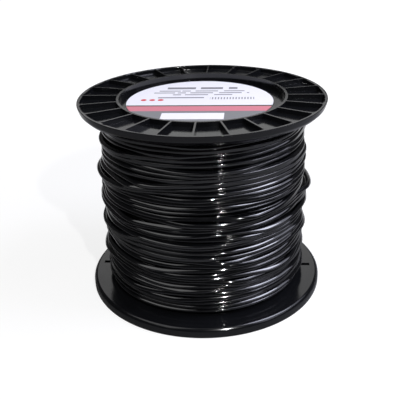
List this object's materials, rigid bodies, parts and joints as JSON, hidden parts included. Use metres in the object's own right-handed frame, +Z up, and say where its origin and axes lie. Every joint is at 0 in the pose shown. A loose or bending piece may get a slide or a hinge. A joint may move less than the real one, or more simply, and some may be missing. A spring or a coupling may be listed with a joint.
{
  "type": "spool of trimmer line",
  "caption": "Ribbed round plastic spool wound full with square trimmer line, with a paper label in its hub recess. Stands on its lower flange or turns on a spindle.",
  "frame": {"origin": "middle of the lower rim's flat underside, on the spool's axis", "axes": "+Z up along the spool's axis towards the label, -Y towards the viewer of the picture, +X to the right"},
  "size_m": [0.2, 0.2, 0.165],
  "materials": {
    "spool_plastic": "satin black",
    "line_nylon": "glossy black",
    "label_paper": "printed"
  },
  "bodies": {
    "root": {"spool": "spool_plastic", "line_winding": "line_nylon", "label": "label_paper"}
  },
  "joints": []
}
